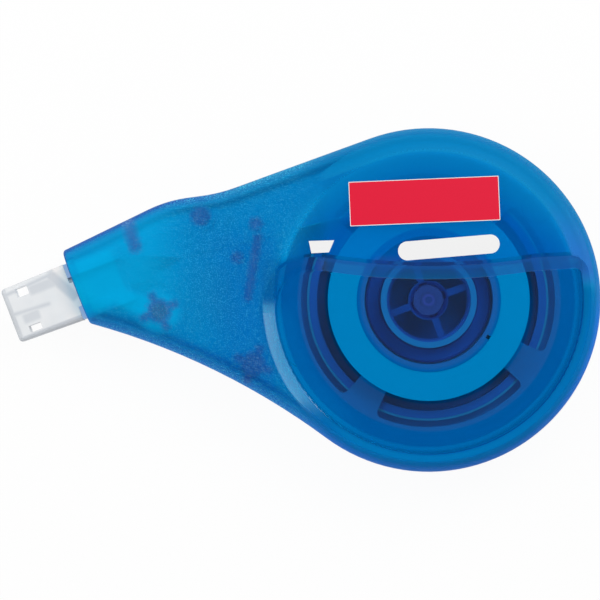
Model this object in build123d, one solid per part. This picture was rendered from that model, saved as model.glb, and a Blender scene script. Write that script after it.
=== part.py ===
from build123d import *
import math
import os

# Correction tape: a round two-shell case drawn out to a slanted nose, with two reels on one axle,
# a side-on applicator and a pull-off cap. The origin is on the reel axis at the flat back face,
# +X runs from the nose to the round end, +Z out of the broad front. Lengths in mm, angles in degrees.

# Case outline: a round body, and a neck whose top edge bends twice on its way to the nose
body_radius = 26.5
neck_length = 27.9
wall = 1.2
top_line_angle = 20.0
neck_bend_share = 0.208
bump_share = 0.308
bump_height = 1.78
neck_blend_radius = 25.0
bump_blend_radius = 20.0
belly_bearing = 233.5

# Nose: a flat slanted face, with its own axis leaning down from the case
nose_rise = 1.8
nose_lean = 21.0
nose_top_across = 6.15
nose_foot_across = 5.8
nose_front_drop = 2.6
nose_back_rise = 1.2
side_slope_share = 0.83
side_blend_radius = 60.0
nose_edge_radius = 0.6

# Shell edges and the joint between the shells
front_shoulder = 4.6
back_shoulder = 4.0
parting_share = 0.5
lip_height = 0.8
lip_thickness = 0.5
lip_clearance = 0.1

# Sunk window in the front: its rim beside the shoulder, and its smile-shaped upper edge
recess_depth = 2.2
recess_margin = 0.6
recess_floor_radius = 0.6
smile_half_width_share = 0.622
smile_middle_share = 0.205
smile_end_share = 0.255
recess_corner_height_share = 0.274
recess_right_corner_share = 0.116
recess_left_corner_share = 0.309
window_gap = 0.7

# Ejector marks inside the front shell
ejector_radius = 2.3
ejector_margin = 4.7
ejector_depth = 0.12
ejector_bearings = (5.0, 40.6, 233.6, 312.7)

# Axle on the back shell, with split ends and catches
axle_radius = 2.3
axle_bore = 1.35
axle_slot = 0.7
axle_slot_depth = 3.0
catch_reach = 0.45
catch_height = 0.7
catch_gap = 0.1
catch_bevel_share = 0.9
catch_bearing = 20.0
catch_width = 1.3
seat_ring_radius = 4.2
seat_clearance = 0.1
gate_mark_radius = 0.5
gate_mark_depth = 0.3

# Reels
tape_width = 4.2
edge_clearance = 0.1
flange_thickness = 0.7
flange_gap = 0.2
takeup_side_gap = 2.9
drum_step = 4.0
drum_wall = 1.2
hub_radius = 7.4
hub_wall = 0.9
hub_disc_radius = 3.1
hub_disc_thickness = 0.8
hub_disc_depth = 3.2
spoke_width = 1.1
spoke_rim = 0.5
running_clearance = 0.08
supply_side_gap = 2.5
core_wall = 1.2
core_slot_width = 0.6
core_slot_bearing = -32.0
window_core_gap = 1.5
window_rim = 3.1
window_sweep = 73.0
window_bearing = 12.0
window_corner = 0.9
reel_front_clearance = 0.1

# Friction ring between the reels
clutch_width = 2.2
clutch_thickness = 1.1
clutch_clearance = 0.06
clutch_core_gap = 0.24
clutch_bevel = 0.3

# Tape
pack_thickness = 4.45
used_thickness = 0.35
strip_thickness = 0.12
strip_clearance = 0.08
twist_length = 9.0
twist_steps = 4

# Applicator, placed in the nose's own frame: ahead of the face, across it and along Z
applicator_across = -0.4
base_side_room = 0.275
base_height = 6.2
base_depth = 8.0
base_ahead = 0.65
spigot_clearance = 0.1
spigot_ahead = 3.4
blade_width = 4.4
blade_ahead = 9.7
blade_root_thickness = 2.2
blade_tip_thickness = 0.5
channel_clearance = 0.15
tab_notch_high = 1.15
tab_notch_low = 2.85
opening_clearance = 0.1
locating_ring_radius = 3.7
locating_ring_thickness = 1.15
pin_clearance = 0.08

# Cap
cap_rear_width = 9.2
cap_rear_height = 6.4
cap_tip_width = 8.65
cap_tip_height = 5.6
cap_ahead = 11.1
cap_wall = 0.9
cap_end_wall = 0.8
cap_gap = 0.06
cap_edge_radius = 0.7
cap_tip_radius = 0.6
cap_slot_near = 7.05
cap_slot_length = 1.95
cap_high_slot = (1.87, 1.37)
cap_low_slot = (-3.85, 1.02)

# Posts, pins and ribs in the neck, each placed beside a tape run: its share of the way from the reel to
# the applicator, and its distance below the run
post_b_share = 0.825
post_b_offset = 2.7
post_c_share = 0.438
post_c_offset = 2.8
post_core_radius = 1.7
post_arm_reach = 3.1
post_arm_width = 0.9
post_b_arm_bearing = 25.0
post_c_arm_bearing = -22.0
post_pin_radius = 1.15
pin_reach = 3.0
socket_bottom_gap = 0.3
socket_wall = 0.75
boss_a_share = 0.696
boss_a_offset = -5.45
boss_a_radius = 1.2
guide_pin_share = 0.609
guide_pin_offset = 2.1
guide_pin_radius = 0.75
stop_pin_share = 0.517
stop_pin_offset = -2.2
stop_pin_radius = 0.9
rib_bar_top_share = 0.522
rib_bar_foot_share = 0.606
rib_bar_foot_offset = 8.4
rib_bar_width = 1.05
nose_rib_back = 9.9
nose_rib_across = 2.35
nose_rib_width = 1.8
nose_rib_length = 4.6

# One overrun serves every cut, and one tolerance the search for edges
overrun = 2.0
edge_tolerance = 0.01

# Worked-out sizes in plan
nose_reach = body_radius + neck_length
side_slope_start = body_radius * side_slope_share
recess_radius = body_radius - recess_margin
ejector_circle = body_radius - ejector_margin
takeup_flange_radius = body_radius - wall - takeup_side_gap
supply_flange_radius = body_radius - wall - supply_side_gap
drum_radius = takeup_flange_radius - drum_step
core_radius = hub_radius + clutch_clearance + clutch_width + clutch_core_gap + core_wall
window_inner_radius = core_radius + window_core_gap
window_outer_radius = supply_flange_radius - window_rim
pack_radius = core_radius + pack_thickness
used_radius = drum_radius + used_thickness
base_width = nose_top_across + nose_foot_across - 2 * (wall + base_side_room)

# Worked-out levels along Z, stacked from the back wall to the front
takeup_back_z = wall + seat_clearance * 2 + edge_clearance
used_z = takeup_back_z + flange_thickness + edge_clearance
drum_front_z = used_z + tape_width + edge_clearance
supply_back_z = drum_front_z + flange_gap
pack_z = supply_back_z + flange_thickness + edge_clearance
reel_front_z = pack_z + tape_width + reel_front_clearance
recess_under_z = reel_front_z + window_gap
recess_z = recess_under_z + wall
case_thickness = recess_z + recess_depth
parting_z = case_thickness * parting_share
nose_middle_z = (case_thickness - nose_front_drop + nose_back_rise) / 2
locating_ring_top_z = nose_middle_z + blade_root_thickness / 2 - edge_clearance
locating_ring_z = locating_ring_top_z - locating_ring_thickness
hub_disc_z = reel_front_z - hub_disc_depth
catch_top_z = hub_disc_z + hub_disc_thickness + catch_gap + catch_height


def polar(radius, bearing):
    """Point at a distance and bearing from the reel axis."""
    return (radius * math.cos(math.radians(bearing)), radius * math.sin(math.radians(bearing)))


def nose_point(back, across):
    """Point in plan from its distance behind the nose face and across the nose axis."""
    lean = math.radians(nose_lean)
    x = -nose_reach + back * math.cos(lean) - across * math.sin(lean)
    y = nose_rise + back * math.sin(lean) + across * math.cos(lean)
    return (x, y)


def beside(start, end, share, offset):
    """Point at a share of the way between two points, moved sideways to the left of that way."""
    way_x, way_y = end[0] - start[0], end[1] - start[1]
    aside = offset / math.hypot(way_x, way_y)
    return (start[0] + share * way_x - aside * way_y, start[1] + share * way_y + aside * way_x)


def run_ends(radius, side):
    """Where a taut tape leaves a reel and where it meets the applicator: side 1 over the top, -1 under."""
    away = radius + strip_thickness / 2 + strip_clearance
    web_end = nose_point(base_depth, applicator_across)
    reach = math.hypot(*web_end)
    bearing = math.degrees(math.atan2(web_end[1], web_end[0]))
    return polar(away, bearing - side * math.degrees(math.acos(away / reach))), web_end


def by_run_out(share, offset):
    """Place in the neck beside the tape on its way out."""
    return beside(*run_ends(pack_radius, 1), share, offset)


def by_run_back(share, offset):
    """Place in the neck beside the film on its way back."""
    return beside(*run_ends(used_radius, -1), share, offset)


def nose_box(back_from, back_to, across_from, across_to, z_from, z_to):
    """Box square to the nose axis."""
    frame = Plane(origin=(-nose_reach, nose_rise, 0), z_dir=(0, 0, 1),
                  x_dir=(math.cos(math.radians(nose_lean)), math.sin(math.radians(nose_lean)), 0))
    middle = Pos((back_from + back_to) / 2, (across_from + across_to) / 2, (z_from + z_to) / 2)
    return frame * middle * Box(back_to - back_from, across_to - across_from, z_to - z_from)


def tube(outer, inner, z_from, z_to):
    """Ring about the reel axis."""
    ring = Circle(outer) - Circle(inner)
    return Pos(0, 0, z_from) * extrude(ring, z_to - z_from)


def rod(place, radius, z_from, z_to):
    """Round rod along Z."""
    return Pos(place[0], place[1], z_from) * extrude(Circle(radius), z_to - z_from)


def bar(start, end, width, z_from, z_to):
    """Upright rib between two points, with round ends."""
    length = math.hypot(end[0] - start[0], end[1] - start[1])
    turn = math.degrees(math.atan2(end[1] - start[1], end[0] - start[0]))
    middle = Pos((start[0] + end[0]) / 2, (start[1] + end[1]) / 2, z_from) * Rot(0, 0, turn)
    return middle * extrude(SlotCenterToCenter(length, width), z_to - z_from)


def belly_arc(nose_foot):
    """Hollow arc under the neck, from where it leaves the round body smoothly to the nose's foot."""
    touch = polar(body_radius, belly_bearing)
    way_out = polar(1, belly_bearing)
    gap_x, gap_y = nose_foot[0] - touch[0], nose_foot[1] - touch[1]
    radius = (gap_x ** 2 + gap_y ** 2) / (2 * (gap_x * way_out[0] + gap_y * way_out[1]))
    centre = polar(body_radius + radius, belly_bearing)
    foot_angle = math.degrees(math.atan2(nose_foot[1] - centre[1], nose_foot[0] - centre[0]))
    turn = polar(radius, (foot_angle + belly_bearing - 180) / 2)
    return ThreePointArc(touch, (centre[0] + turn[0], centre[1] + turn[1]), nose_foot)


def case_plan():
    """Outline of the case seen from the front."""
    top_touch = polar(body_radius, 90 + top_line_angle)
    neck_x = -body_radius - neck_bend_share * neck_length
    neck = (neck_x, top_touch[1] + (neck_x - top_touch[0]) * math.tan(math.radians(top_line_angle)))
    nose_top = nose_point(0, nose_top_across)
    bump = beside(nose_top, neck, 1 - bump_share, bump_height)
    top = FilletPolyline(nose_top, bump, neck, top_touch, radius=[bump_blend_radius, neck_blend_radius])
    nose_foot = nose_point(0, -nose_foot_across)
    body = ThreePointArc(top_touch, (body_radius, 0), polar(body_radius, belly_bearing))
    return make_face([top, body, belly_arc(nose_foot), Line(nose_foot, nose_top)])


def case_side(inset):
    """Side view: the case thins from the neck to the nose on both faces."""
    right = body_radius + overrun
    far = 2 * nose_reach
    start = side_slope_start
    front_slope = nose_front_drop / (nose_reach - start)
    back_slope = nose_back_rise / (nose_reach - start)
    front_z = case_thickness - inset
    far_front = (-far, front_z - front_slope * (far - start))
    far_back = (-far, inset + back_slope * (far - start))
    front = FilletPolyline(far_front, (-start, front_z), (right, front_z), radius=side_blend_radius)
    back = FilletPolyline(far_back, (-start, inset), (right, inset), radius=side_blend_radius)
    ends = [Line(far_front, far_back), Line((right, front_z), (right, inset))]
    return Plane.XZ * make_face([front, back] + ends)


def long_rim(block, z_from, z_to):
    """Edges round the front or the back of the case, without those across the nose and the side blends."""
    lean = math.radians(nose_lean)
    found = []
    for edge in block.edges():
        middle, along = edge.center(), edge.tangent_at(0.5)
        behind_nose = (middle.X + nose_reach) * math.cos(lean) + (middle.Y - nose_rise) * math.sin(lean)
        in_height = z_from - overrun < middle.Z < z_to + overrun
        runs_round = abs(along.Z) < 0.5 and abs(along.X) > 0.001
        if in_height and runs_round and behind_nose > wall + overrun:
            found.append(edge)
    return found


def case_form(inset):
    """Solid form of the case, or of its inside when set in by the wall."""
    plan = case_plan()
    if inset:
        plan = offset(plan, amount=-inset)
    block = extrude(plan, case_thickness) & extrude(case_side(inset), 2 * body_radius, both=True)
    block = fillet(long_rim(block, parting_z, case_thickness), front_shoulder - inset)
    return fillet(long_rim(block, 0, parting_z), back_shoulder - inset)


def recess_rim(grow):
    """Outline of the sunk window at the front plane, grown all round by one distance."""
    radius, half_width = recess_radius + grow, recess_radius * smile_half_width_share
    end_y = recess_radius * smile_end_share + grow
    corner_y = recess_radius * recess_corner_height_share + grow
    smile_left, smile_right = (-half_width, end_y), (half_width, end_y)
    corner_right = (math.sqrt(radius ** 2 - corner_y ** 2), corner_y)
    corner_left = (-math.sqrt(radius ** 2 - end_y ** 2), end_y)
    rim = make_face([
        ThreePointArc(smile_left, (0, recess_radius * smile_middle_share + grow), smile_right),
        Line(smile_right, corner_right),
        ThreePointArc(corner_right, (0, -radius), corner_left),
        Line(corner_left, smile_left),
    ])
    rim = fillet(rim.vertices().sort_by(Axis.X)[-1], recess_radius * recess_right_corner_share + grow)
    return fillet(rim.vertices().sort_by(Axis.X)[0], recess_radius * recess_left_corner_share + grow)


def recess_tool(inset):
    """Block that sinks the window, with walls at 45 degrees; set in, it leaves one wall under the window."""
    rim = recess_rim(inset * math.tan(math.radians(45 / 2)))
    block = Pos(0, 0, recess_z - inset) * extrude(rim, recess_depth + inset + overrun)
    return chamfer(block.faces().sort_by(Axis.Z)[0].edges(), recess_depth)


def soften(form):
    """The case form with its sunk window's floor edge and the edges round the nose face rounded."""
    floor = [edge for edge in form.edges() if abs(edge.center().Z - recess_z) < edge_tolerance]
    form = fillet(floor, recess_floor_radius)
    lean = math.radians(nose_lean)
    nose = []
    for edge in form.edges():
        middle = edge.center()
        behind_nose = (middle.X + nose_reach) * math.cos(lean) + (middle.Y - nose_rise) * math.sin(lean)
        if abs(behind_nose) < edge_tolerance:
            nose.append(edge)
    return fillet(nose, nose_edge_radius)


def slab(z_from, z_to):
    """Everything between two levels."""
    return Pos(0, 0, (z_from + z_to) / 2) * Box(4 * nose_reach, 4 * nose_reach, z_to - z_from)


def nose_opening():
    """Opening in the nose face that the applicator's base fills."""
    half_width = base_width / 2 + opening_clearance
    half_height = base_height / 2 + opening_clearance
    return nose_box(-overrun, wall + overrun, applicator_across - half_width, applicator_across + half_width,
                    nose_middle_z - half_height, nose_middle_z + half_height)


def lip_ring(outer_inset, inner_inset, height):
    """Band just inside the case wall, standing on the joint between the shells."""
    plan = case_plan()
    band = offset(plan, amount=-outer_inset) - offset(plan, amount=-inner_inset)
    return Pos(0, 0, parting_z) * extrude(band, height)


def ribbed_post(place, bearing, z_from):
    """Front shell's post with four ribs, run up into the front wall."""
    post = rod(place, post_core_radius, z_from, case_thickness)
    for turn in range(4):
        reach_x, reach_y = polar(post_arm_reach - post_arm_width / 2, bearing + 90 * turn)
        tip = (place[0] + reach_x, place[1] + reach_y)
        post += bar(place, tip, post_arm_width, z_from + post_arm_width / 2, case_thickness)
    return post


def socket(place, pin_radius, z_to):
    """Back shell's round socket that takes a pin of the front shell."""
    bore = pin_radius + pin_clearance
    outside = rod(place, bore + socket_wall, 0, z_to)
    return outside, rod(place, bore, z_to - pin_reach, z_to + overrun)


def rib_bar(z_from, z_to):
    """Rib across the tape's way out, level with its edge."""
    rib_top, rib_foot = by_run_out(rib_bar_top_share, 0), by_run_out(rib_bar_foot_share, rib_bar_foot_offset)
    return bar(rib_top, rib_foot, rib_bar_width, z_from, z_to)


def front_posts():
    """What hangs from the front shell's inner face."""
    pin_foot = locating_ring_z - pin_reach + socket_bottom_gap
    parts = ribbed_post(post_b_place, post_b_arm_bearing, locating_ring_top_z + edge_clearance)
    parts += rod(post_b_place, post_pin_radius, pin_foot, case_thickness)
    parts += ribbed_post(post_c_place, post_c_arm_bearing, parting_z + lip_height + edge_clearance)
    for place, radius in ((post_c_place, post_pin_radius), (boss_a_place, boss_a_radius)):
        parts += rod(place, radius, parting_z - pin_reach + socket_bottom_gap, case_thickness)
    parts += nose_box(nose_rib_back, nose_rib_back + nose_rib_width, nose_rib_across,
                      nose_rib_across + nose_rib_length, nose_middle_z + blade_root_thickness, case_thickness)
    return parts + rib_bar(reel_front_z + flange_gap, case_thickness)


def front_shell(outer, hollow):
    """Front half of the case, with the sunk window and what hangs inside it."""
    locating_pin = rod((0, 0), axle_bore - pin_clearance, catch_top_z - pin_reach, recess_z)
    shell = hollow & slab(parting_z, case_thickness + overrun)
    shell -= lip_ring(wall - lip_thickness - lip_clearance, wall + overrun, lip_height + lip_clearance)
    shell += front_posts() & outer
    shell += locating_pin
    shell -= nose_opening()
    shell -= rod((0, 0), gate_mark_radius, recess_z - gate_mark_depth, case_thickness)
    for bearing in ejector_bearings:
        place = polar(ejector_circle, bearing)
        sunk = place[1] < recess_radius * smile_end_share - recess_depth
        under_z = recess_under_z if sunk else case_thickness - wall
        shell -= rod(place, ejector_radius, under_z - overrun, under_z + ejector_depth)
    return shell


def axle():
    """Split tube on the back shell, with four catches over the reel's hub."""
    post = tube(axle_radius, axle_bore, 0, catch_top_z)
    post += tube(seat_ring_radius, axle_bore, 0, takeup_back_z - seat_clearance)
    collar = tube(axle_radius + catch_reach, axle_bore, catch_top_z - catch_height, catch_top_z)
    rim = collar.edges().group_by(Axis.Z)[-1].sort_by(SortBy.LENGTH)[-1]
    collar = chamfer(rim, catch_reach * catch_bevel_share)
    wide = axle_radius + catch_reach
    for turn in range(4):
        arm = Rot(0, 0, catch_bearing + 90 * turn) * Pos(wide / 2, 0, catch_top_z - catch_height / 2)
        post += collar & (arm * Box(wide, catch_width, catch_height))
    for turn in range(2):
        cut = Rot(0, 0, catch_bearing + 45 + 90 * turn) * Pos(0, 0, catch_top_z)
        post -= cut * Box(4 * axle_radius, axle_slot, 2 * axle_slot_depth)
    return post


def back_shell(outer, hollow):
    """Back half of the case, with the axle, sockets, guide pins and the step rib."""
    shell = hollow & slab(-overrun, parting_z)
    shell += lip_ring(wall - lip_thickness, wall, lip_height)
    bores = []
    posts = axle()
    sockets = (
        (post_b_place, post_pin_radius, locating_ring_z - edge_clearance),
        (post_c_place, post_pin_radius, parting_z),
        (boss_a_place, boss_a_radius, parting_z),
    )
    for place, radius, z_to in sockets:
        outside, bore = socket(place, radius, z_to)
        posts += outside
        bores.append(bore)
    for place, radius in ((guide_pin_place, guide_pin_radius), (stop_pin_place, stop_pin_radius)):
        posts += rod(place, radius, 0, reel_front_z)
    posts += rib_bar(0, pack_z - flange_gap)
    shell += posts & outer
    for bore in bores:
        shell -= bore
    shell -= nose_opening()
    return shell


def spokes():
    """Four spokes and a rim inside the take-up reel's hub tube, round the bearing sleeve."""
    inside = hub_radius - hub_wall
    bore = axle_radius + running_clearance
    plate = tube(inside, inside - spoke_rim, hub_disc_z, hub_disc_z + hub_disc_thickness)
    middle, length = (bore + inside) / 2, inside - bore
    for turn in range(4):
        arm = Rot(0, 0, catch_bearing + 90 * turn) * Pos(middle, 0, hub_disc_z + hub_disc_thickness / 2)
        plate += arm * Box(length, spoke_width, hub_disc_thickness)
    return plate


def takeup_spool():
    """Reel next to the back wall: flange, drum wall, hub tube and the spoked disc on the axle."""
    bore = axle_radius + running_clearance
    reel = tube(takeup_flange_radius, bore, takeup_back_z, takeup_back_z + flange_thickness)
    reel += tube(drum_radius, drum_radius - drum_wall, takeup_back_z, drum_front_z)
    reel += tube(hub_radius, hub_radius - hub_wall, takeup_back_z, reel_front_z)
    reel += tube(hub_disc_radius, bore, takeup_back_z, hub_disc_z + hub_disc_thickness)
    return reel + spokes()


def window_face():
    """One arc window of the supply reel's flange, centred on +X."""
    half = window_sweep / 2
    outside = [polar(window_outer_radius, bearing) for bearing in (-half, 0, half)]
    inside = [polar(window_inner_radius, bearing) for bearing in (half, 0, -half)]
    face = make_face([
        ThreePointArc(*outside),
        Line(outside[-1], inside[0]),
        ThreePointArc(*inside),
        Line(inside[-1], outside[0]),
    ])
    return fillet(face.vertices(), window_corner)


def supply_spool():
    """Reel that carries the full tape: a flange with four arc windows and a core with an anchor slot."""
    flange_top = supply_back_z + flange_thickness
    reel = tube(supply_flange_radius, hub_radius + running_clearance, supply_back_z, flange_top)
    for turn in range(4):
        opening = extrude(window_face(), flange_thickness + 2 * overrun)
        reel -= Pos(0, 0, supply_back_z - overrun) * Rot(0, 0, window_bearing + 90 * turn) * opening
    reel += tube(core_radius, core_radius - core_wall, supply_back_z, reel_front_z)
    slot = Rot(0, 0, core_slot_bearing) * Pos(core_radius, 0, (flange_top + case_thickness) / 2)
    return reel - slot * Box(core_wall, core_slot_width, case_thickness - flange_top)


def clutch_ring():
    """Soft ring that lets one reel slip on the other."""
    inner = hub_radius + clutch_clearance
    base = supply_back_z + flange_thickness + clutch_clearance
    ring = tube(inner + clutch_width, inner, base, base + clutch_thickness)
    return chamfer(ring.edges(), clutch_bevel)


def strip_section(place, z, bearing, twist):
    """Cross-section of the tape: standing on edge at twist 0, lying flat at twist 90."""
    heading, roll = math.radians(bearing), math.radians(twist)
    along = Vector(math.cos(heading), math.sin(heading), 0)
    side = Vector(-math.sin(heading), math.cos(heading), 0)
    width_way = Vector(0, 0, 1) * math.cos(roll) + side * math.sin(roll)
    frame = Plane(origin=(place[0], place[1], z), x_dir=width_way, z_dir=along)
    return frame * Rectangle(tape_width, strip_thickness)


def tape_run(radius, z_reel, side):
    """Taut tape from a reel's tangent point, twisted flat and led to the tip on one face of the blade."""
    touch, web_end = run_ends(radius, side)
    heading = math.degrees(math.atan2(touch[1] - web_end[1], touch[0] - web_end[0]))
    run = math.hypot(touch[0] - web_end[0], touch[1] - web_end[1])
    z_web = nose_middle_z + side * (blade_root_thickness / 2 + strip_thickness / 2 + strip_clearance / 2)
    z_tip = nose_middle_z + side * (blade_tip_thickness / 2 + strip_thickness / 2 + strip_clearance / 2)
    sections = [
        strip_section(nose_point(-blade_ahead, applicator_across), z_tip, nose_lean, 90),
        strip_section(nose_point(-base_ahead, applicator_across), z_web, nose_lean, 90),
        strip_section(web_end, z_web, nose_lean, 90),
    ]
    for step in range(1, twist_steps + 1):
        share = step / twist_steps
        back = share * twist_length / run
        place = (web_end[0] + back * (touch[0] - web_end[0]), web_end[1] + back * (touch[1] - web_end[1]))
        z = z_web + share * (z_reel - z_web)
        turn = nose_lean + min(1, share * 2) * (heading - nose_lean)
        sections.append(strip_section(place, z, turn, 90 * (1 - share)))
    sections.append(strip_section(touch, z_reel, heading, 0))
    return loft(sections, ruled=True)


def tip_wrap():
    """Half turn of tape round the blade's edge."""
    inner = blade_tip_thickness / 2 + strip_clearance / 2
    ring = Circle(inner + strip_thickness) - Circle(inner)
    lean = math.radians(nose_lean)
    across_way = Vector(-math.sin(lean), math.cos(lean), 0)
    middle = nose_point(-blade_ahead, applicator_across)
    frame = Plane(origin=(middle[0], middle[1], nose_middle_z), z_dir=across_way, x_dir=(0, 0, 1))
    band = frame * extrude(ring, tape_width / 2, both=True)
    return band & nose_box(-cap_ahead, -blade_ahead, -base_width, base_width, 0, case_thickness)


def blade():
    """Wedge that presses the tape down, with a rounded edge."""
    rear, front = -base_depth, blade_ahead
    half_root, half_tip = blade_root_thickness / 2, blade_tip_thickness / 2
    side_view = make_face([
        Polyline((front, half_tip), (base_ahead, half_root), (rear, half_root), (rear, -half_root),
                 (base_ahead, -half_root), (front, -half_tip)),
        ThreePointArc((front, half_tip), (front + half_tip, 0), (front, -half_tip)),
    ])
    lean = math.radians(nose_lean)
    ahead_way = Vector(-math.cos(lean), -math.sin(lean), 0)
    across_way = Vector(-math.sin(lean), math.cos(lean), 0)
    middle = nose_point(0, applicator_across)
    frame = Plane(origin=(middle[0], middle[1], nose_middle_z), x_dir=ahead_way, z_dir=across_way)
    return frame * extrude(side_view, blade_width / 2, both=True)


def applicator_tip():
    """Base held in the nose, cheeks beside the tape, wedge blade and the ring that sits on a post."""
    low, high = applicator_across - base_width / 2, applicator_across + base_width / 2
    half = base_height / 2
    channel = blade_width / 2 + channel_clearance
    root = blade_root_thickness / 2
    body = nose_box(-base_ahead, base_depth, low, high, nose_middle_z - half, nose_middle_z + half)
    room_width, room_height = cap_section(spigot_ahead, cap_wall + spigot_clearance)
    body += nose_box(-spigot_ahead, 0, applicator_across - room_width / 2, applicator_across + room_width / 2,
                     nose_middle_z - room_height / 2, nose_middle_z + room_height / 2)
    channel_low, channel_high = applicator_across - channel, applicator_across + channel
    body -= nose_box(-spigot_ahead - overrun, -base_ahead, channel_low, channel_high, 0, case_thickness)
    for side in (-1, 1):
        near, far = nose_middle_z + side * root, nose_middle_z + side * (half + overrun)
        z_from, z_to = min(near, far), max(near, far)
        body -= nose_box(0, base_depth + overrun, channel_low, channel_high, z_from, z_to)
        body -= nose_box(-base_ahead - overrun, 0, -tab_notch_low, tab_notch_high, z_from, z_to)
        body -= nose_box(-base_ahead - overrun, 0, channel_low, channel_high, z_from, z_to)
    hole = rod(post_b_place, post_pin_radius + pin_clearance, 0, case_thickness)
    return body + blade() + locating_ring() - hole


def locating_ring():
    """Flat ring on the applicator's foot that sits round a post, with the arm that carries it."""
    corner = nose_point(base_depth - locating_ring_radius / 2, applicator_across - base_width / 2 + cap_wall)
    arm = bar(corner, post_b_place, locating_ring_radius, locating_ring_z, locating_ring_top_z)
    return arm + rod(post_b_place, locating_ring_radius, locating_ring_z, locating_ring_top_z)


def cap_section(ahead, inset):
    """Width and height of the tapered cap at a distance ahead of the nose face, set in all round."""
    share = ahead / cap_ahead
    width = cap_rear_width + share * (cap_tip_width - cap_rear_width) - 2 * inset
    height = cap_rear_height + share * (cap_tip_height - cap_rear_height) - 2 * inset
    return width, height


def cap_block(inset, back_from, back_to):
    """Tapered block of the cap's outer form, or of its hollow when set in by the wall."""
    lean = math.radians(nose_lean)
    inward = (math.cos(lean), math.sin(lean), 0)
    across_way = (-math.sin(lean), math.cos(lean), 0)
    faces = []
    for back in (back_from, back_to):
        width, height = cap_section(-back, inset)
        middle = nose_point(back, applicator_across)
        frame = Plane(origin=(middle[0], middle[1], nose_middle_z), x_dir=across_way, z_dir=inward)
        faces.append(frame * Rectangle(width, height))
    return loft(faces, ruled=True)


def tip_cap():
    """Pull-off cap: tapered box with a tongue on each broad side and two slots right through."""
    lean = math.radians(nose_lean)
    outside = cap_block(0, -cap_gap, -cap_ahead)
    inward = Vector(math.cos(lean), math.sin(lean), 0)
    long_edges = [edge for edge in outside.edges() if abs(edge.tangent_at(0.5).dot(inward)) > 0.9]
    outside = fillet(long_edges, cap_edge_radius)
    ordered = outside.faces().sort_by(Axis((0, 0, 0), (inward.X, inward.Y, inward.Z)))
    outside = fillet(ordered[0].edges(), cap_tip_radius)
    cap = outside - cap_block(cap_wall, overrun, cap_end_wall - cap_ahead)
    notch_end = -base_ahead - cap_gap
    for low, high in ((tab_notch_high - cap_gap, base_width), (-base_width, -tab_notch_low + cap_gap)):
        cap -= nose_box(notch_end, overrun, low, high, 0, case_thickness)
    for low, width in (cap_high_slot, cap_low_slot):
        cap -= nose_box(-cap_slot_near - cap_slot_length, -cap_slot_near, low, low + width, 0, case_thickness)
    return cap


post_b_place = by_run_back(post_b_share, post_b_offset)
post_c_place = by_run_back(post_c_share, post_c_offset)
boss_a_place = by_run_out(boss_a_share, boss_a_offset)
guide_pin_place = by_run_out(guide_pin_share, guide_pin_offset)
stop_pin_place = by_run_out(stop_pin_share, stop_pin_offset)
outer = soften(case_form(0) - recess_tool(0))
hollow = outer - (case_form(wall) - recess_tool(wall))
parts = {
    "front_shell": front_shell(outer, hollow),
    "back_shell": back_shell(outer, hollow),
    "takeup_spool": takeup_spool(),
    "supply_spool": supply_spool(),
    "clutch_ring": clutch_ring(),
    "supply_tape": tube(pack_radius, core_radius, pack_z, pack_z + tape_width),
    "used_tape": tube(used_radius, drum_radius, used_z, used_z + tape_width),
    "tape_run_out": tape_run(pack_radius, pack_z + tape_width / 2, 1) + tip_wrap(),
    "tape_run_back": tape_run(used_radius, used_z + tape_width / 2, -1),
    "applicator_tip": applicator_tip(),
    "tip_cap": tip_cap(),
}
os.makedirs("parts", exist_ok=True)
for name, shape in parts.items():
    export_step(shape, "parts/" + name + ".step")
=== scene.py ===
import math
import bpy
import numpy as np
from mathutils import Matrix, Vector


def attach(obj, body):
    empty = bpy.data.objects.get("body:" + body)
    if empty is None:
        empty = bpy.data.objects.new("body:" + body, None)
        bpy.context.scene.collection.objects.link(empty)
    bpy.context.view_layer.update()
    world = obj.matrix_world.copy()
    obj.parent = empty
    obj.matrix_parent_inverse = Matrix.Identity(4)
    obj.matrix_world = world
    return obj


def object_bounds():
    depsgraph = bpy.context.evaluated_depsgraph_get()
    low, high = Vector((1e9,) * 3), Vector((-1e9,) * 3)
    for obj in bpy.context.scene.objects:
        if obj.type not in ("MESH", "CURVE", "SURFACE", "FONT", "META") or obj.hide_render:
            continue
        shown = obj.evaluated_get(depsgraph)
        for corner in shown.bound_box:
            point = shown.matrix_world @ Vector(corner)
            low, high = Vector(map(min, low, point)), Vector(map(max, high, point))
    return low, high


# Correction tape: clear blue case over two reels, white cap, plain printed panels.
# The frame's own axes: x from nose to round end, y up the photograph, z out of the front.
# Settings are in millimetres and degrees; reach is the distance from the reels' axis.

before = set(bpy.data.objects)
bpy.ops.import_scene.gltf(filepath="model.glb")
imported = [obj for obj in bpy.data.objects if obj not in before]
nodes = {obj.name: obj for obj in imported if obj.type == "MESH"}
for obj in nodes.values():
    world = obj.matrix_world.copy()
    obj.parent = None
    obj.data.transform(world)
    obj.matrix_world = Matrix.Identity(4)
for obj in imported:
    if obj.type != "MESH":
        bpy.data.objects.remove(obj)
cadLow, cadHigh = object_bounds()
mm = 0.001
print("frame loaded,", len(nodes), "nodes")


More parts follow.
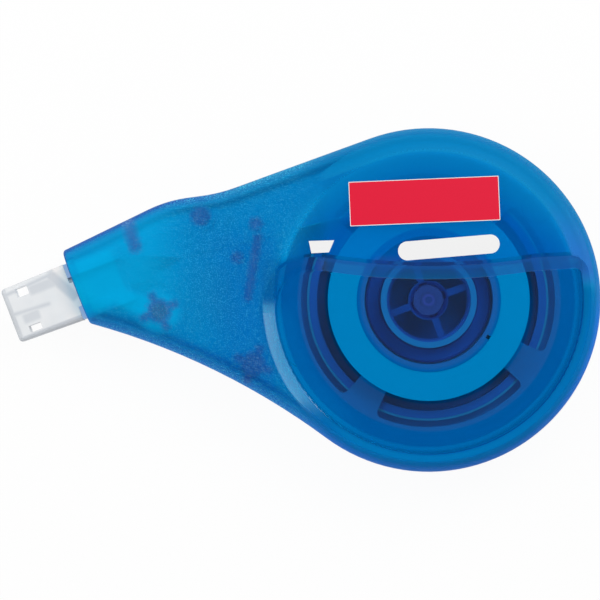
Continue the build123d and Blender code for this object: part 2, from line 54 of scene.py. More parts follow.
# Shader maths
class Wire:
    # A socket that takes part in plain arithmetic; every operation adds its Math node.

    def __init__(self, sheet, socket):
        self.sheet, self.socket = sheet, socket

    def maths(self, operation, *others):
        return self.sheet.node("ShaderNodeMath", {"operation": operation}, self, *others)

    def __add__(self, other):
        return self.maths("ADD", other)

    def __sub__(self, other):
        return self.maths("SUBTRACT", other)

    def __rsub__(self, other):
        return self.sheet.node("ShaderNodeMath", {"operation": "SUBTRACT"}, other, self)

    def __mul__(self, other):
        return self.maths("MULTIPLY", other)

    def __pow__(self, other):
        return self.maths("POWER", other)

    __radd__, __rmul__ = __add__, __mul__

    def ramp(self, start, full):
        # 0 up to start and 1 from full on, smooth between; full may be the smaller one.
        ends = {"From Min": min(start, full), "From Max": max(start, full)}
        settings = {"interpolation_type": "SMOOTHSTEP"}
        rise = self.sheet.node("ShaderNodeMapRange", settings, Value=self, **ends)
        return rise if start < full else 1 - rise


def strongest(masks):
    # The largest of several masks at each place.
    most, *others = masks
    for mask in others:
        most = most.maths("MAXIMUM", mask)
    return most


def distance(x, y):
    return (x * x + y * y) ** 0.5


class Sheet:
    # The node tree of a material or of the world.

    def __init__(self, owner, output="ShaderNodeOutputMaterial"):
        owner.use_nodes = True
        self.owner, self.tree = owner, owner.node_tree
        self.tree.nodes.clear()
        self.output = self.tree.nodes.new(output)

    def node(self, kind, settings, *values, out=0, **named):
        # Any node: its settings first, then its sockets by order or by name.
        made = self.tree.nodes.new(kind)
        for key, value in settings.items():
            setattr(made, key, value)
        for key, value in list(enumerate(values)) + list(named.items()):
            if isinstance(value, Wire):
                self.tree.links.new(value.socket, made.inputs[key])
            elif value is not None:
                made.inputs[key].default_value = value
        return Wire(self, made.outputs[out])

    def place(self):
        # Object coordinates in millimetres.
        spot = self.node("ShaderNodeTexCoord", {}, out="Object")
        return self.node("ShaderNodeVectorMath", {"operation": "SCALE"}, spot, Scale=1 / mm)

    def axes(self, spot):
        return [self.node("ShaderNodeSeparateXYZ", {}, spot, out=axis) for axis in "XYZ"]

    def rays(self, *kinds):
        # 1 for light that travels as a ray of one of these kinds.
        paths = [self.node("ShaderNodeLightPath", {}, out=f"Is {kind} Ray") for kind in kinds]
        return strongest(paths)

    def noise(self, spot, scale, detail=2.0, rough=0.5):
        return self.node("ShaderNodeTexNoise", {}, out="Fac",
                         Vector=spot, Scale=scale, Detail=detail, Roughness=rough)

    def blendColours(self, factor, first, second):
        # Sockets 0, 6, 7 and output 2 are the Mix node's factor and colours.
        first, second = (c if isinstance(c, Wire) else (*c, 1) for c in (first, second))
        sockets = {0: factor, 6: first, 7: second}
        inOrder = (sockets.get(k) for k in range(8))
        return self.node("ShaderNodeMix", {"data_type": "RGBA"}, *inOrder, out=2)

    def blendShaders(self, factor, first, second):
        return self.node("ShaderNodeMixShader", {}, factor, first, second)

    def bump(self, height, strength, depth):
        depth = depth * mm
        return self.node("ShaderNodeBump", {}, Height=height, Strength=strength, Distance=depth)

    def principled(self, **named):
        sockets = {key.replace("_", " "): value for key, value in named.items()}
        return self.node("ShaderNodeBsdfPrincipled", {}, **sockets)

    def finish(self, shader):
        self.tree.links.new(shader.socket, self.output.inputs["Surface"])
        return self.owner


def newSheet(name):
    return Sheet(bpy.data.materials.new(name))


def dress(nodeName, material):
    # Gives a carried-over CAD node its finish.
    for slot in nodes[nodeName].material_slots:
        slot.material = material
    if not nodes[nodeName].material_slots:
        nodes[nodeName].data.materials.append(material)


def dimmed(colour, share):
    return tuple(c * share for c in colour)


# Camera and stage
view = {
    "centre": (-19.84, 0.0, 8.0),    # middle of the photograph on the case's parting plane
    "width": 93.0,                   # across the frame there
    "lens": 250.0,
    "sensor": 36.0,
    "clip": (0.01, 20.0),            # metres
}


def makeCamera():
    data = bpy.data.cameras.new("camera")
    data.lens, data.sensor_width = view["lens"], view["sensor"]
    data.clip_start, data.clip_end = view["clip"]
    away = view["width"] * view["lens"] / view["sensor"]
    camera = bpy.data.objects.new("camera", data)
    x, y, z = view["centre"]
    camera.location = Vector((x, y, z + away)) * mm
    bpy.context.scene.collection.objects.link(camera)
    bpy.context.scene.camera = camera


stage = {
    "floorDrop": 0.02,               # under the back face
    "floorReach": 2500.0,
    "floorColour": (0.9, 0.9, 0.9),
    "floorRough": 0.9,
    "floorPale": 0.95,               # share of the floor's white that keeps no shadow
    "skyLevel": 0.36,                # world light on the object
    "white": (1, 1, 1, 1),
    "lamps": {                       # watts, size, place
        "key": (0.85, 260.0, (120.0, 190.0, 330.0)),
        "fill": (0.48, 300.0, (-260.0, 60.0, 260.0)),
        "side": (0.10, (230.0, 60.0), (272.0, 127.0, 32.0)),    # low, for the streak on the wall
    },
}


def makeFloor():
    # A square at one level, its corners at plus and minus the reach.
    reach, low = stage["floorReach"] * mm, -stage["floorDrop"] * mm
    corners = np.array([(-1, -1), (1, -1), (1, 1), (-1, 1)]) * reach
    mesh = bpy.data.meshes.new("floor")
    mesh.from_pydata(np.column_stack([corners, np.full(4, low)]).tolist(), [], [(0, 1, 2, 3)])
    floor = bpy.data.objects.new("floor", mesh)
    bpy.context.scene.collection.objects.link(floor)
    sheet = newSheet("floorWhite")
    shaded = sheet.principled(Base_Color=(*stage["floorColour"], 1), Roughness=stage["floorRough"],
                              Specular_IOR_Level=0.0)
    glow = sheet.node("ShaderNodeEmission", {}, Color=stage["white"], Strength=1.0)
    pale = sheet.rays("Camera", "Glossy", "Transmission") * stage["floorPale"]
    mesh.materials.append(sheet.finish(sheet.blendShaders(pale, shaded, glow)))


def makeWorld():
    sheet = Sheet(bpy.data.worlds.new("studio"), "ShaderNodeOutputWorld")
    lit = sheet.node("ShaderNodeBackground", {}, Color=stage["white"], Strength=stage["skyLevel"])
    seen = sheet.node("ShaderNodeBackground", {}, Color=stage["white"], Strength=1.0)
    bpy.context.scene.world = sheet.finish(sheet.blendShaders(sheet.rays("Camera"), lit, seen))


def makeLamp(name, power, size, place):
    # A soft lamp that faces the part: a disk, or a rectangle where two sizes are given.
    data = bpy.data.lights.new(name, "AREA")
    data.energy = power
    if isinstance(size, tuple):
        data.shape, data.size, data.size_y = "RECTANGLE", size[0] * mm, size[1] * mm
    else:
        data.shape, data.size = "DISK", size * mm
    lamp = bpy.data.objects.new(name, data)
    lamp.location = Vector(place) * mm
    lamp.rotation_euler = (-lamp.location).to_track_quat("-Z", "Y").to_euler()
    bpy.context.scene.collection.objects.link(lamp)


makeCamera()
makeFloor()
makeWorld()
for lampName, lampSettings in stage["lamps"].items():
    makeLamp(lampName, *lampSettings)
bpy.context.scene.view_settings.view_transform = "Standard"
print("camera, floor and lamps made")


# Masks that more than one finish uses
def disc(x, y, centre, radius, soft):
    # 1 inside a circle, fading over its edge.
    return distance(x - centre[0], y - centre[1]).ramp(radius + soft, radius - soft)


def stripe(x, y, start, end, width, soft):
    # 1 inside a bar between two points, fading over its edge.
    length = math.hypot(end[0] - start[0], end[1] - start[1])
    c, s = (end[0] - start[0]) / length, (end[1] - start[1]) / length
    midX, midY = (start[0] + end[0]) / 2, (start[1] + end[1]) / 2
    along = ((x - midX) * c + (y - midY) * s).maths("ABSOLUTE")
    aside = ((y - midY) * c - (x - midX) * s).maths("ABSOLUTE")
    half = (length + width) / 2
    return along.ramp(half + soft, half - soft) * aside.ramp(width / 2 + soft, width / 2 - soft)


def lightThrough(sheet, shader, tint):
    # Lets the light of lamps and of other surfaces in through a thin wall, tinted.
    clear = sheet.node("ShaderNodeBsdfTransparent", {}, Color=(*tint, 1))
    return sheet.blendShaders(sheet.rays("Shadow", "Diffuse"), shader, clear)


# Case: clear plastic, mixed with a share of milk that scatters light back
casePlastic = {
    "tint": (0.002, 0.56, 0.855),    # the clear plastic, seen through two faces of one wall
    "tints": {                       # laid over it in this order, each in the zone of its name
        # Painted light: the nose is painted brighter where the white applicator lies under it
        "nose": (0.001, 0.80, 0.97),
        # Painted shade between the neck and the round body
        "throat": (0.002, 0.475, 0.83),
        "lowEdge": (0.001, 0.40, 0.87),
        "edge": (0.001, 0.36, 0.82),
        # Painted light: a lighter tint over the tape pack under the flat front
        "flat": (0.002, 0.76, 0.94),
        "floor": (0.002, 0.68, 0.95),
        "smile": (0.01, 0.42, 0.80),
        # Painted light on the rounded shoulder above the window
        "shoulder": (0.001, 0.56, 0.86),
        # Painted shade over the posts and ribs under the front wall
        "posts": (0.04, 0.24, 0.56),
        # Painted shade in the back shell's ring round the window
        "backRing": (0.001, 0.26, 0.53),
        # Painted shade about the axle
        "axle": (0.10, 0.20, 0.46),
        "seam": (0.001, 0.16, 0.40),
        "gate": (0.20, 0.26, 0.66),
    },
    "milk": (0.0, 0.26, 0.56),
    "milks": {                       # laid over the milk in the same way
        # Painted light: lighter milk over the white applicator under the nose
        "nose": (0.0, 0.46, 0.80),
        # Painted shade: darker milk between the neck and the round body
        "throat": (0.0, 0.19, 0.49),
        "rim": (0.0, 0.20, 0.58),
        "smile": (0.03, 0.20, 0.64),
        # Painted light: lighter milk on the rounded shoulder
        "shoulder": (0.0, 0.28, 0.58),
        "wall": (0.0, 0.30, 0.62),
        # Painted highlight: lighter milk on the window's left wall, under the side lamp's real
        # gloss
        "streak": (0.09, 0.40, 0.71),
        "hub": (0.23, 0.26, 0.46),
        "specks": (0.07, 0.68, 0.97),
        # Painted shade: darker milk over the posts and ribs
        "posts": (0.04, 0.14, 0.44),
        "postSpecks": (0.18, 0.46, 0.76),
        "seam": (0.001, 0.16, 0.40),
    },
    "milkTurns": {                   # what two of the milks turn to within their zones
        # Painted light: the lower rim's milk is lighter, where the lamps light it less
        "rim": {"neckRim": (0.0, 0.09, 0.42), "low": (0.0, 0.19, 0.76)},
        # Painted shade where the shoulder bends down to the side
        "shoulder": {"bend": (0.0, 0.22, 0.50)},
    },
    "leastShare": 0.04,              # of milk, everywhere
    "frostShare": 0.22,              # on top of that where the wall is frosted
    "noseShare": 0.18,               # and in the frosted nose, more over the applicator as painted light
    "shares": {                      # and in these zones
        "rim": 0.75,
        "smile": 0.48,
        "shoulderTop": 0.14,
        "wall": 0.16,
        "streak": 0.35,
        "postSpecks": 0.22,
    },
    "milkRough": 0.5,
    "milkGloss": 0.05,
    "clearRough": 0.03,
    "frostRough": (0.24, 0.06),      # even part, and the part that follows the speckle
    "frostLevel": (0.12, 0.88),      # even part, and the part that grows with reach
    "wallRough": 0.35,
    "speckleNoise": (4.0, 3.0),      # scale and detail
    "speckleSpan": (0.9, 0.2),       # milk's even part, and the part that follows the speckle
    "speckleBump": (0.08, 0.01),     # strength, depth
    "speckNoise": (7.0, 0.0),
    "speckCut": (0.60, 0.66),        # noise above which a bright speck shows
    "streakCoat": 0.75,
    "coatRough": 0.12,
    "coatIor": 1.8,
    "seamLevel": 8.0,                # above the back, where the shells meet
    "edgePower": 2.5,                # how close to the outline the edge tint keeps
    "facingBlend": 0.5,
    "glossTint": (0.0, 0.5, 1.0),
    "lampTint": (0.10, 0.66, 0.84),  # one face, for light on its way in
    "ior": 1.2,                      # low, so a wall seen along its length stays clear
}
# A zone is a product of steps. A step is an axis with the values at which the zone starts and is
# full, or an earlier zone that it lies in, or "not" one that it lies outside.
caseZones = {
    "both": {
        "window": (("reach", 24.2, 23.4), ("y", 7.2, 5.4)),
        "slope": (("z", 13.85, 13.95), ("z", 15.95, 15.85), ("reach", 25.7, 25.4)),
        # Between the neck and the round body: painted shade, a darker tint and milk there
        "throat": (("x", -37, -28), ("x", -22, -25), ("y", 13, 8)),
        "low": (("y", 2, -4),),
        "lowEdge": ("low", ("facing", 0.1, 0.45)),
        # The outside where it is seen edge on, so that the outline stays blue
        "rim": ("not window", "not slope", ("facing", 0.2, 0.7),
                ("z", 15.95, 15.75), ("z", 0.02, 0.2)),
        "neckRim": (("x", -10, -20),),
        # Painted shade about the axle
        "axle": (("reach", 3.2, 2.6),),
        # Outside only: the faces that meet lie exactly at the seam's level and stay clear.
        "seam": (("offSeam", 0.01, 0.02), ("offSeam", 0.12, 0.06)),
    },
    "front": {
        "frosted": (("reach", 19.5, 24.0),),
        # The flat front over the tape pack, painted lighter as painted light on the pack under it,
        # and the window's floor beside its left wall
        "flat": ("not window", ("reach", 17.0, 15.6)),
        "floor": ("window", ("reach", 19.9, 22.0), ("x", -9, -15), ("y", 1, -4)),
        # The window's upper wall, the wall round its floor, and the light caught on the left: the
        # side lamp's gloss in the coat, and a painted highlight in lighter milk
        "smile": ("slope", ("x", -18, -15), ("y", 1, 3)),
        "wall": ("slope", ("y", 5, 1), ("x", -19, -12)),
        "streak": ("slope", ("x", -10, -16), ("y", 0.5, -1.5), ("y", -18.5, -14)),
        # The rounded front above the window, its top, and where it bends down to the side: painted
        # light, a lighter milk band with painted shade at the bend
        "shoulder": (("reach", 15.5, 21), ("z", 11.2, 12.2), ("y", 4, 17), ("x", -36, -28)),
        "shoulderTop": ("shoulder", ("reach", 25, 23)),
        "bend": (("reach", 22.4, 23.4),),
        # Parts of the reels under the window
        "core": ("window", "not smile", ("reach", 10.9, 10.3)),
        "drum": ("window", "not smile", ("reach", 15.8, 16.2), ("reach", 20.4, 20.0)),
        # The neck with its bright specks, and the mark of the moulding gate
        "neck": (("x", -14, -22),),
        "gate": (("reach", 0.5, 0.65), ("reach", 1.0, 0.8)),
    },
    "back": {
        "frosted": (("reach", 23.4, 24.2),),
        # Painted shade: a darker ring round the window
        "backRing": (("reach", 22.2, 22.5), ("reach", 26.2, 25.9), ("y", 7.2, 5.4)),
    },
}
# Posts and ribs under the front wall, whose shade is painted on it
posts = {
    "ribbed": ((-41.5, -1.7, 25.0), (-27.0, -9.85, -22.0)),    # place, and the first arm's bearing
    "coreRadius": 1.8,
    "armReach": 3.1,
    "armWidth": 1.1,
    "round": ((-35.1, 12.9, 1.4), (-29.5, 6.5, 0.75), (-26.6, 11.7, 0.9)),    # place and radius
    "bars": (((-26.3, 9.6), (-27.8, 0.45), 1.05), ((-46.5, 12.3), (-45.2, 8.3), 1.8)),
    "soft": 0.7,
    "waver": 1.8,                    # how far frost blurs their outlines
    "waverNoise": (1.5, 6.0, 0.75),  # scale, detail and roughness
    "depth": (0.315, 0.81),          # even part, and the part that follows the speckle
}
# Painted light: the front wall is painted brighter over the applicator's white foot under the nose,
# over its ring about a post, and along the neck
foot = {
    "sole": ((-54.0, 1.6), (-51.3, 2.7), 9.0),
    "arm": ((-46.5, 0.2), (-41.5, -1.7), 3.6),
    "ring": ((-41.5, -1.7), 3.2),
    "ringGlow": 0.8,
    "neckAlong": (-35.0, -44.0),     # where the neck turns paler along x
    "neckUp": (-3.0, 1.0),           # and along y, from the foot's lower edge
    "neckGlow": 0.75,
    "soft": 1.0,
}


def addZones(zones, axes, recipes):
    # Adds each recipe's mask to the zones, as the product of its steps.
    for name, steps in recipes.items():
        parts = []
        for step in steps:
            if isinstance(step, tuple):
                axis, start, full = step
                parts.append(axes[axis].ramp(start, full))
            elif step.startswith("not "):
                parts.append(1 - zones[step.removeprefix("not ")])
            else:
                parts.append(zones[step])
        zones[name] = math.prod(parts)


def overlay(sheet, colour, layers, zones):
    # Lays each layer over the colour, in the zone of its name if this shell has one.
    for name, above in layers.items():
        if name in zones:
            colour = sheet.blendColours(zones[name], colour, above)
    return colour


def paintedPostShade(x, y):
    # 1 over the posts and ribs that stand on the front wall, where their shade is painted on it.
    soft, width = posts["soft"], posts["armWidth"]
    spots = [disc(x, y, place[:2], posts["coreRadius"], soft) for place in posts["ribbed"]]
    spots += [disc(x, y, place[:2], place[2], soft) for place in posts["round"]]
    spots += [stripe(x, y, *place, soft) for place in posts["bars"]]
    for px, py, bearing in posts["ribbed"]:
        for turn in (0, 90):
            angle, reach = math.radians(bearing + turn), posts["armReach"] - width / 2
            dx, dy = reach * math.cos(angle), reach * math.sin(angle)
            spots.append(stripe(x, y, (px - dx, py - dy), (px + dx, py + dy), width, soft))
    return strongest(spots)


def paintedFootGlow(x, y):
    # 1 where the white applicator lies close under the wall, for the painted light that brightens
    # the wall there.
    soft = foot["soft"]
    return strongest([
        stripe(x, y, *foot["sole"], soft),
        stripe(x, y, *foot["arm"], soft),
        disc(x, y, *foot["ring"], soft) * foot["ringGlow"],
        x.ramp(*foot["neckAlong"]) * y.ramp(*foot["neckUp"]) * foot["neckGlow"],
    ])


def addFrontMarks(sheet, spot, x, y, zones, frost, speckle):
    # Adds what lies behind or in the front wall: reel edges, bright specks, and the posts as
    # painted shade.
    zones["hub"] = zones["core"] + zones["drum"]
    grain = sheet.noise(spot, *casePlastic["speckNoise"]).ramp(*casePlastic["speckCut"])
    grain = grain * frost * zones["neck"]
    zones["specks"] = grain * (1 - zones["nose"])
    wave = (sheet.noise(spot, *posts["waverNoise"]) - 0.5) * posts["waver"]
    even, speckled = posts["depth"]
    zones["posts"] = paintedPostShade(x + wave, y - wave) * (even + speckled * speckle)
    zones["postSpecks"] = zones["posts"] * grain


def milkTone(sheet, zones):
    # Colour of the milk, zone over zone.
    milks = dict(casePlastic["milks"])
    for name, turns in casePlastic["milkTurns"].items():
        milks[name] = overlay(sheet, milks[name], turns, zones)
    return overlay(sheet, casePlastic["milk"], milks, zones)


def milkShare(zones, frost, speckle):
    # How much of the wall is milk: frosted plastic, the nose and the zones, added up.
    even, speckled = casePlastic["speckleSpan"]
    share = casePlastic["frostShare"] + casePlastic["noseShare"] * zones["nose"]
    share = share * frost * (even + speckled * speckle) + casePlastic["leastShare"]
    for name, more in casePlastic["shares"].items():
        if name in zones:
            share = share + more * zones[name]
    return share


def casePlasticSheet(name, isFront):
    sheet = newSheet(name)
    spot = sheet.place()
    x, y, z = sheet.axes(spot)
    facing = sheet.node("ShaderNodeLayerWeight", {}, out="Facing", Blend=casePlastic["facingBlend"])
    offSeam = (z - casePlastic["seamLevel"]).maths("ABSOLUTE")
    axes = {"x": x, "y": y, "z": z, "reach": distance(x, y), "facing": facing, "offSeam": offSeam}
    speckle = sheet.noise(spot, *casePlastic["speckleNoise"])
    zones = {"nose": paintedFootGlow(x, y), "edge": facing ** casePlastic["edgePower"]}
    addZones(zones, axes, caseZones["both"])
    addZones(zones, axes, caseZones["front" if isFront else "back"])
    frost, wallRough, coat = zones["frosted"], 0.0, None
    if isFront:
        even, growing = casePlastic["frostLevel"]
        frost = (1 - zones["window"]) * (even + growing * zones["frosted"])
        wallRough = casePlastic["wallRough"] * zones["wall"]
        coat = casePlastic["streakCoat"] * zones["streak"]
        addFrontMarks(sheet, spot, x, y, zones, frost, speckle)
    even, speckled = casePlastic["frostRough"]
    rough = casePlastic["clearRough"] + frost * (even + speckled * speckle) + wallRough
    bump = sheet.bump(speckle * frost, *casePlastic["speckleBump"])
    tint = overlay(sheet, casePlastic["tint"], casePlastic["tints"], zones)
    glass = sheet.principled(Base_Color=tint, Roughness=rough, Normal=bump, IOR=casePlastic["ior"],
                             Specular_Tint=(*casePlastic["glossTint"], 1), Transmission_Weight=1.0,
                             Coat_Weight=coat, Coat_Roughness=casePlastic["coatRough"],
                             Coat_IOR=casePlastic["coatIor"])
    milk = sheet.principled(Base_Color=milkTone(sheet, zones), Roughness=casePlastic["milkRough"],
                            Normal=bump, Specular_IOR_Level=casePlastic["milkGloss"])
    body = sheet.blendShaders(milkShare(zones, frost, speckle), glass, milk)
    return sheet.finish(lightThrough(sheet, body, casePlastic["lampTint"]))


dress("front_shell", casePlasticSheet("frontShellPlastic", True))
dress("back_shell", casePlasticSheet("backShellPlastic", False))
print("case finished")


# Reels and tape
supplyReel = {
    "pale": (0.28, 0.36, 0.56),
    "deep": (0.25, 0.33, 0.54),
    "cloudScale": 0.5,
    "rough": 0.35,
}


def supplyReelSheet():
    sheet = newSheet("supplyReelPlastic")
    cloud = sheet.noise(sheet.place(), supplyReel["cloudScale"])
    tone = sheet.blendColours(cloud, supplyReel["pale"], supplyReel["deep"])
    return sheet.finish(sheet.principled(Base_Color=tone, Roughness=supplyReel["rough"]))


takeupReel = {
    "deep": (0.18, 0.23, 0.54),
    "hub": (0.12, 0.10, 0.34),
    "hubReach": (6.5, 6.1),
    "rim": (0.16, 0.42, 0.70),       # painted light: lighter past the drum, seen at the outer side of the arc windows, where it lies deep in shade
    "rimReach": (18.4, 18.7),
    "crest": (0.40, 0.46, 0.60),     # painted highlight where the hub's rim catches the light
    "crestLevel": (10.8, 11.6),      # above the back
    "cloudScale": 0.8,
    "rough": (0.35, 0.1),            # even part, and the part that follows the cloud
}


def takeupReelSheet():
    sheet = newSheet("takeupReelPlastic")
    spot = sheet.place()
    x, y, z = sheet.axes(spot)
    reach = distance(x, y)
    hub, rim = reach.ramp(*takeupReel["hubReach"]), reach.ramp(*takeupReel["rimReach"])
    tone = sheet.blendColours(hub, takeupReel["deep"], takeupReel["hub"])
    tone = sheet.blendColours(rim, tone, takeupReel["rim"])
    tone = sheet.blendColours(z.ramp(*takeupReel["crestLevel"]), tone, takeupReel["crest"])
    even, clouded = takeupReel["rough"]
    rough = even + clouded * sheet.noise(spot, takeupReel["cloudScale"])
    return sheet.finish(sheet.principled(Base_Color=tone, Roughness=rough))


tapes = {                            # material, colour and alpha of each node
    "supply_tape": ("whiteTape", (0.86, 0.87, 0.86), 1.0),
    "tape_run_out": ("whiteTapeRun", (0.9, 0.91, 0.9), 0.5),
    "used_tape": ("bareFilm", (0.45, 0.55, 0.62), 1.0),
    "tape_run_back": ("bareFilmRun", (0.7, 0.78, 0.82), 0.25),
}
tapeEdge = {
    "ringsPerMm": 6.0,
    "detail": 3.0,
    "dullShare": 0.9,
    "bump": (0.3, 0.03),             # strength, depth
    "rough": 0.55,
}


def tapeSheet(name, colour, alpha):
    # Edge of a wound pack: fine rings, a noise of the reach alone.
    sheet = newSheet(name)
    x, y, _ = sheet.axes(sheet.place())
    rings = sheet.node("ShaderNodeTexNoise", {"noise_dimensions": "1D"}, out="Fac",
                       W=distance(x, y) * tapeEdge["ringsPerMm"], Detail=tapeEdge["detail"])
    tone = sheet.blendColours(rings, dimmed(colour, tapeEdge["dullShare"]), colour)
    return sheet.finish(sheet.principled(Base_Color=tone, Roughness=tapeEdge["rough"], Alpha=alpha,
                                         Normal=sheet.bump(rings, *tapeEdge["bump"])))


clutchRubber = {
    "dark": (0.03, 0.12, 0.38),
    "pale": (0.04, 0.15, 0.45),
    "grainNoise": (4.0, 3.0),        # scale and detail
    "rough": (0.7, 0.15),            # even part, and the part that follows the grain
}


def rubberSheet():
    sheet = newSheet("clutchRubber")
    grain = sheet.noise(sheet.place(), *clutchRubber["grainNoise"])
    even, grained = clutchRubber["rough"]
    tone = sheet.blendColours(grain, clutchRubber["dark"], clutchRubber["pale"])
    return sheet.finish(sheet.principled(Base_Color=tone, Roughness=even + grained * grain))


dress("supply_spool", supplyReelSheet())
dress("takeup_spool", takeupReelSheet())
for tapeNode, tapeLook in tapes.items():
    dress(tapeNode, tapeSheet(*tapeLook))
dress("clutch_ring", rubberSheet())
print("reels and tape finished")


# Cap and applicator. Ahead is measured from the nose face, across from the nose axis.
nose = {
    "face": (-54.4, 1.8),            # its middle
    "lean": 21.0,
}
capPlastic = {
    "milk": (0.88, 0.89, 0.90),
    "deep": (0.77, 0.80, 0.83),
    "cloudScale": 0.35,
    "rear": (0.90, 0.84, 0.81),      # painted warmer, to cancel the case's blue light that falls on it
    "rearAhead": (4.0, 0.5),
    # Painted shade: the grey of the cap's shaded end and lower edge, and of the parts seen through
    # it
    "edge": (0.50, 0.54, 0.60),
    "endAhead": (10.2, 10.5),
    "endShade": 0.5,
    "lowerAcross": (-3.9, -4.2),
    "lowerShade": 0.65,
    "inner": (                       # painted shade of what lies inside, seen through the wall: two ends (ahead, across), width, shade
        ((2.9, 3.2), (0.8, -0.8), 1.5, 0.6),
        ((10.4, -0.35), (4.8, -0.7), 0.5, 0.6),
        ((10.6, 2.9), (3.4, 3.4), 0.5, 0.7),
        ((6.2, 2.2), (3.4, 2.2), 1.5, 0.5),
        ((8.6, -1.6), (7.4, -1.6), 1.5, 0.5),
    ),
    "innerSoft": 0.35,
    "skinNoise": (2.5, 3.0),         # scale and detail
    "skinBump": (0.15, 0.02),        # strength, depth
    "rough": (0.3, 0.1),             # even part, and the part that follows the cloud
    "alpha": (0.8, 0.14),            # even part, and the part that grows towards the nose
    "alphaAhead": (5.5, 1.0),
    "coat": 0.2,
    "lampTint": (0.92, 0.93, 0.94),
}


def alongNose(x, y):
    # Turns a place by the nose's lean about the middle of its face.
    lean, (faceX, faceY) = math.radians(nose["lean"]), nose["face"]
    ahead = (faceX - x) * math.cos(lean) + (faceY - y) * math.sin(lean)
    across = (faceX - x) * math.sin(lean) + (y - faceY) * math.cos(lean)
    return ahead, across


def capSheet():
    sheet = newSheet("capPlastic")
    spot = sheet.place()
    x, y, _ = sheet.axes(spot)
    ahead, across = alongNose(x, y)
    cloud = sheet.noise(spot, capPlastic["cloudScale"])
    tone = sheet.blendColours(cloud, capPlastic["milk"], capPlastic["deep"])
    tone = sheet.blendColours(ahead.ramp(*capPlastic["rearAhead"]), tone, capPlastic["rear"])
    shades = [ahead.ramp(*capPlastic["endAhead"]) * capPlastic["endShade"],
              across.ramp(*capPlastic["lowerAcross"]) * capPlastic["lowerShade"]]
    for start, end, width, shade in capPlastic["inner"]:
        shades.append(stripe(ahead, across, start, end, width, capPlastic["innerSoft"]) * shade)
    tone = sheet.blendColours(strongest(shades), tone, capPlastic["edge"])
    bump = sheet.bump(sheet.noise(spot, *capPlastic["skinNoise"]), *capPlastic["skinBump"])
    evenRough, clouded = capPlastic["rough"]
    evenAlpha, growing = capPlastic["alpha"]
    skin = sheet.principled(Base_Color=tone, Roughness=evenRough + clouded * cloud, Normal=bump,
                            Alpha=evenAlpha + growing * ahead.ramp(*capPlastic["alphaAhead"]),
                            Coat_Weight=capPlastic["coat"])
    return sheet.finish(lightThrough(sheet, skin, capPlastic["lampTint"]))


applicatorPlastic = {
    "white": (0.86, 0.88, 0.88),
    "dull": (0.80, 0.83, 0.84),
    "cloudScale": 0.6,
    "tab": (0.44, 0.53, 0.74),       # painted blue light between nose and cap, where the case's blue shines through
    "tabAhead": (-0.1, 0.75),
    "tabSoft": 0.1,
    "rough": (0.35, 0.1),            # even part, and the part that follows the cloud
}


def applicatorSheet():
    sheet = newSheet("applicatorPlastic")
    spot = sheet.place()
    x, y, _ = sheet.axes(spot)
    ahead, across = alongNose(x, y)
    cloud = sheet.noise(spot, applicatorPlastic["cloudScale"])
    tone = sheet.blendColours(cloud, applicatorPlastic["white"], applicatorPlastic["dull"])
    (low, high), soft = applicatorPlastic["tabAhead"], applicatorPlastic["tabSoft"]
    tab = ahead.ramp(low, low + soft) * ahead.ramp(high, high - soft)
    tone = sheet.blendColours(tab, tone, applicatorPlastic["tab"])
    even, clouded = applicatorPlastic["rough"]
    return sheet.finish(sheet.principled(Base_Color=tone, Roughness=even + clouded * cloud))


dress("tip_cap", capSheet())
dress("applicator_tip", applicatorSheet())
print("cap and applicator finished")


# Printed panels
ink = {
    "red": (0.77, 0.003, 0.036),
    "redDull": 0.92,                 # share of the colour in the darker grain
    "white": (0.88, 0.88, 0.88),
    "whiteDull": 0.95,
    "grainNoise": (6.0, 4.0),        # scale and detail
    "bump": (0.1, 0.01),             # strength, depth
    "rough": (0.35, 0.1),            # even part, and the part that follows the grain
    "gloss": 0.25,
    "lampTint": (0.9, 0.9, 0.9),     # light that the thin ink lets in to the reels
}
prints = {
    "lift": 0.01,                    # above the flat front
    "thickness": 0.03,
    "rings": 3,                      # rows of faces from a panel's middle to its outline
    "redCentre": (-0.8, 15.15),
    "redSize": (22.8, 6.6),
    "redCorner": (0.12, 4),          # radius, and points round it
    "redTilt": 2.4,
    "border": 0.10,                  # white line round the red label
    "barCentre": (2.95, 8.05),
    "barSize": (15.6, 2.9),
    "barCorner": (1.421, 14),
    "barTilt": 4.8,
    "patch": ((-18.5, 9.03), (-18.1, 7.15), (-15.4, 7.3), (-14.6, 9.15)),
}


def inkSheet(name, colour, dullShare):
    sheet = newSheet(name)
    grain = sheet.noise(sheet.place(), *ink["grainNoise"])
    even, grained = ink["rough"]
    skin = sheet.principled(Base_Color=sheet.blendColours(grain, colour, dimmed(colour, dullShare)),
                            Roughness=even + grained * grain,
                            Normal=sheet.bump(grain, *ink["bump"]), Specular_IOR_Level=ink["gloss"])
    return sheet.finish(lightThrough(sheet, skin, ink["lampTint"]))


def roundedOutline(width, height, radius, steps):
    # Outline of a rounded box: a quarter circle about each inset corner, joined by straight sides.
    turn = np.linspace(0, math.pi / 2, steps)
    angles = (np.arange(4)[:, None] * math.pi / 2 + turn).ravel()
    signs = np.repeat(np.array([(1, 1), (-1, 1), (-1, -1), (1, -1)]), steps, axis=0)
    inset = signs * (np.array([width, height]) / 2 - radius)
    return inset + radius * np.column_stack([np.cos(angles), np.sin(angles)])


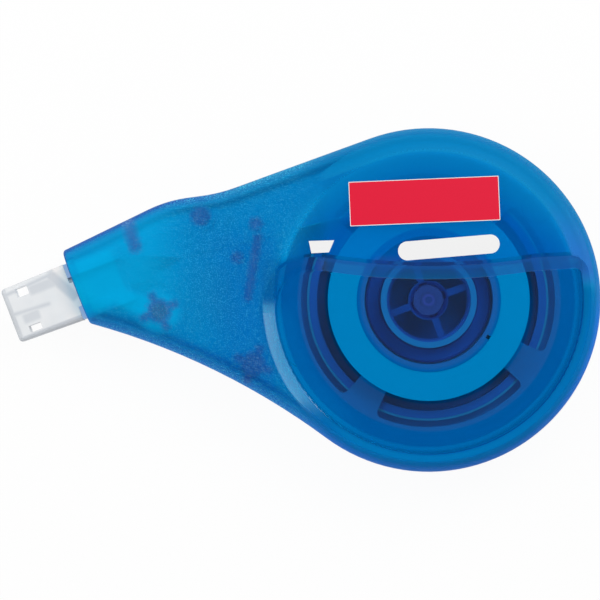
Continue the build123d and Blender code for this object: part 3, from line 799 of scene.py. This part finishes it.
def flatPanel(name, outline, centre, tilt, level):
    # Rings that grow from the centre to the outline at one level, then given a thickness.
    count, shares = len(outline), np.arange(1, prints["rings"] + 1) / prints["rings"]
    a = math.radians(tilt)
    turned = outline @ np.array([(math.cos(a), math.sin(a)), (-math.sin(a), math.cos(a))])
    rings = (shares[:, None, None] * turned[None]).reshape(-1, 2)
    flat = np.vstack([np.zeros((1, 2)), rings]) + np.array(centre)
    points = np.column_stack([flat, np.full(len(flat), level)]) * mm
    here, after = np.arange(count), (np.arange(count) + 1) % count
    fan = np.column_stack([np.zeros(count, int), 1 + here, 1 + after])
    inner = np.arange(len(shares) - 1)[:, None] * count + 1
    outer = inner + count
    quads = np.stack([inner + here, outer + here, outer + after, inner + after], axis=-1)
    mesh = bpy.data.meshes.new(name)
    mesh.from_pydata(points.tolist(), [], fan.tolist() + quads.reshape(-1, 4).tolist())
    panel = bpy.data.objects.new(name, mesh)
    bpy.context.scene.collection.objects.link(panel)
    solid = panel.modifiers.new("thickness", "SOLIDIFY")
    solid.thickness, solid.offset = prints["thickness"] * mm, 1.0
    return panel


def makePrints():
    level = cadHigh.z / mm + prints["lift"]
    redInk = inkSheet("redInk", ink["red"], ink["redDull"])
    whiteInk = inkSheet("whiteInk", ink["white"], ink["whiteDull"])
    (width, height), line = prints["redSize"], 2 * prints["border"]
    centre, tilt = prints["redCentre"], prints["redTilt"]
    outline = roundedOutline(width + line, height + line, *prints["redCorner"])
    border = flatPanel("label_border", outline, centre, tilt, level)
    outline = roundedOutline(width, height, *prints["redCorner"])
    label = flatPanel("red_label", outline, centre, tilt, level + prints["thickness"])
    outline = roundedOutline(*prints["barSize"], *prints["barCorner"])
    bar = flatPanel("white_bar", outline, prints["barCentre"], prints["barTilt"], level)
    corners = np.array(prints["patch"])
    centre = corners.mean(axis=0)
    patch = flatPanel("white_patch", corners - centre, centre, 0, level)
    for piece in (border, bar, patch):
        piece.data.materials.append(whiteInk)
    label.data.materials.append(redInk)
    for piece in (label, border, bar, patch):
        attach(piece, "case")


makePrints()
print("prints made")
